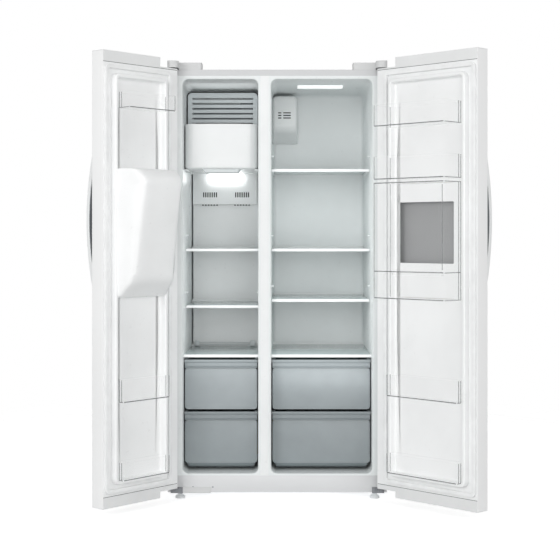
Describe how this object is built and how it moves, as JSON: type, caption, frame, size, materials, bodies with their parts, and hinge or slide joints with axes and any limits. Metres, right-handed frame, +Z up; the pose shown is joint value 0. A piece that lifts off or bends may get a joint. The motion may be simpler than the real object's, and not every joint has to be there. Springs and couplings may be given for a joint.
{
  "type": "side by side refrigerator",
  "caption": "Free-standing side by side refrigerator with glass shelves, drawers, ice maker, door dispenser and a home bar flap, doors standing open.",
  "frame": {"origin": "on the floor, under the centre of the cabinet's footprint", "axes": "+Z up, the front faces -Y, +X to the right of someone facing the open front"},
  "size_m": [1.5721, 1.1205, 1.79],
  "materials": {
    "aluminium": "satin",
    "black_enamel": "satin",
    "clear_plastic": "gloss",
    "dark_grey_plastic": "satin",
    "foam": "matte",
    "galvanised_steel": "satin",
    "gasket": "matte",
    "lamp_lens": "satin",
    "light_grey_plastic": "satin",
    "shelf_glass": "gloss",
    "smoke_plastic": "gloss",
    "white_liner": "satin",
    "white_plastic": "satin",
    "white_steel": "satin",
    "zinc": "satin"
  },
  "bodies": {
    "cabinet": {"side_panels": "white_steel", "top_panel": "white_steel", "back_panel": "galvanised_steel", "cabinet_foam": "foam", "freezer_liner": "white_liner", "fridge_liner": "white_liner", "mullion_strip": "white_steel", "kick_plate": "white_steel", "base_pan": "galvanised_steel", "compressor": "black_enamel", "condenser_coil": "black_enamel", "drain_pan": "dark_grey_plastic", "machine_cover": "galvanised_steel", "evaporator": "aluminium", "fan_motor": "dark_grey_plastic", "freezer_duct_panel": "white_plastic", "ice_maker": "light_grey_plastic", "ice_maker_grille": "light_grey_plastic", "lamp_covers": "lamp_lens", "fridge_air_duct": "light_grey_plastic", "freezer_drawer_cover": "shelf_glass", "crisper_cover": "shelf_glass", "door_hinges": "zinc", "hinge_covers": "light_grey_plastic"},
    "freezer_door": {"freezer_door_skin": "white_steel", "freezer_door_foam": "foam", "freezer_door_liner": "white_liner", "freezer_door_gasket": "gasket", "freezer_door_caps": "light_grey_plastic", "freezer_door_handle": "white_plastic", "freezer_door_baskets": "clear_plastic", "dispenser_frame": "dark_grey_plastic"},
    "fridge_door": {"fridge_door_skin": "white_steel", "fridge_door_foam": "foam", "fridge_door_liner": "white_liner", "fridge_door_gasket": "gasket", "fridge_door_caps": "light_grey_plastic", "fridge_door_handle": "white_plastic", "fridge_door_baskets": "clear_plastic", "bar_case": "clear_plastic"},
    "dispenser_paddle": {"dispenser_paddle": "light_grey_plastic"},
    "drip_tray": {"drip_tray": "light_grey_plastic"},
    "bar_door": {"bar_door": "dark_grey_plastic"},
    "bar_flap": {"bar_flap": "clear_plastic"},
    "freezer_shelf_1": {"freezer_shelf_1": "shelf_glass"},
    "freezer_shelf_2": {"freezer_shelf_2": "shelf_glass"},
    "fridge_shelf_1": {"fridge_shelf_1": "shelf_glass"},
    "fridge_shelf_2": {"fridge_shelf_2": "shelf_glass"},
    "fridge_shelf_3": {"fridge_shelf_3": "shelf_glass"},
    "freezer_drawer_1": {"freezer_drawer_1": "smoke_plastic"},
    "freezer_drawer_2": {"freezer_drawer_2": "smoke_plastic"},
    "crisper_1": {"crisper_1": "smoke_plastic"},
    "crisper_2": {"crisper_2": "smoke_plastic"},
    "ice_bucket": {"ice_bucket": "white_plastic"},
    "ice_auger": {"ice_auger": "aluminium"},
    "fan_blade": {"fan_blade": "dark_grey_plastic"},
    "levelling_leg_left": {"levelling_leg_left": "zinc"},
    "levelling_leg_right": {"levelling_leg_right": "zinc"},
    "rear_rollers": {"rear_rollers": "dark_grey_plastic"}
  },
  "joints": [
    {"name": "freezer_door_swing", "type": "hinge", "parent": "cabinet", "child": "freezer_door", "pos_m": [-0.433, -0.3663, 0], "axis": [0, 0, -1], "range_deg": [-131.3, 5.7]},
    {"name": "fridge_door_swing", "type": "hinge", "parent": "cabinet", "child": "fridge_door", "pos_m": [0.433, -0.3663, 0], "axis": [0, 0, 1], "range_deg": [-135.3, 1.7]},
    {"name": "freezer_shelf_1_slide", "type": "slide", "parent": "cabinet", "child": "freezer_shelf_1", "axis": [0, -1, 0], "range_m": [0, 0.25]},
    {"name": "freezer_shelf_2_slide", "type": "slide", "parent": "cabinet", "child": "freezer_shelf_2", "axis": [0, -1, 0], "range_m": [0, 0.25]},
    {"name": "fridge_shelf_1_slide", "type": "slide", "parent": "cabinet", "child": "fridge_shelf_1", "axis": [0, -1, 0], "range_m": [0, 0.25]},
    {"name": "fridge_shelf_2_slide", "type": "slide", "parent": "cabinet", "child": "fridge_shelf_2", "axis": [0, -1, 0], "range_m": [0, 0.25]},
    {"name": "fridge_shelf_3_slide", "type": "slide", "parent": "cabinet", "child": "fridge_shelf_3", "axis": [0, -1, 0], "range_m": [0, 0.25]},
    {"name": "freezer_drawer_1_slide", "type": "slide", "parent": "cabinet", "child": "freezer_drawer_1", "axis": [0, -1, 0], "range_m": [0, 0.36]},
    {"name": "freezer_drawer_2_slide", "type": "slide", "parent": "cabinet", "child": "freezer_drawer_2", "axis": [0, -1, 0], "range_m": [0, 0.26]},
    {"name": "crisper_1_slide", "type": "slide", "parent": "cabinet", "child": "crisper_1", "axis": [0, -1, 0], "range_m": [0, 0.4]},
    {"name": "crisper_2_slide", "type": "slide", "parent": "cabinet", "child": "crisper_2", "axis": [0, -1, 0], "range_m": [0, 0.26]},
    {"name": "ice_bucket_slide", "type": "slide", "parent": "cabinet", "child": "ice_bucket", "axis": [0, -1, 0], "range_m": [0, 0.25]},
    {"name": "ice_auger_turn", "type": "hinge", "parent": "ice_bucket", "child": "ice_auger", "pos_m": [-0.2326, 0, 1.402], "axis": [0, 1, 0], "continuous": true},
    {"name": "fan_spin", "type": "hinge", "parent": "cabinet", "child": "fan_blade", "pos_m": [-0.2326, 0.2255, 1.13], "axis": [0, 1, 0], "continuous": true},
    {"name": "levelling_leg_left_turn", "type": "hinge", "parent": "cabinet", "child": "levelling_leg_left", "pos_m": [-0.3995, -0.2825, 0], "axis": [0, 0, 1], "continuous": true},
    {"name": "levelling_leg_right_turn", "type": "hinge", "parent": "cabinet", "child": "levelling_leg_right", "pos_m": [0.3995, -0.2825, 0], "axis": [0, 0, 1], "continuous": true},
    {"name": "rear_rollers_roll", "type": "hinge", "parent": "cabinet", "child": "rear_rollers", "pos_m": [0, 0.2575, 0.019], "axis": [1, 0, 0], "continuous": true},
    {"name": "dispenser_paddle_push", "type": "hinge", "parent": "freezer_door", "child": "dispenser_paddle", "pos_m": [-0.54423, -0.53533, 1.136], "axis": [-0.66, -0.7513, 0], "range_deg": [0, 12], "stiffness_Nm_per_rad": 0.3, "springref_deg": -5.73},
    {"name": "drip_tray_slide", "type": "slide", "parent": "freezer_door", "child": "drip_tray", "axis": [-0.7513, 0.66, 0], "range_m": [0, 0.07]},
    {"name": "bar_door_swing", "type": "hinge", "parent": "fridge_door", "child": "bar_door", "pos_m": [0.61869, -0.50081, 0.975], "axis": [-0.7108, 0.7034, 0], "range_deg": [0, 90]},
    {"name": "bar_flap_swing", "type": "hinge", "parent": "fridge_door", "child": "bar_flap", "pos_m": [0.53309, -0.68271, 0.93], "axis": [0.7108, -0.7034, 0], "range_deg": [0, 85]}
  ]
}
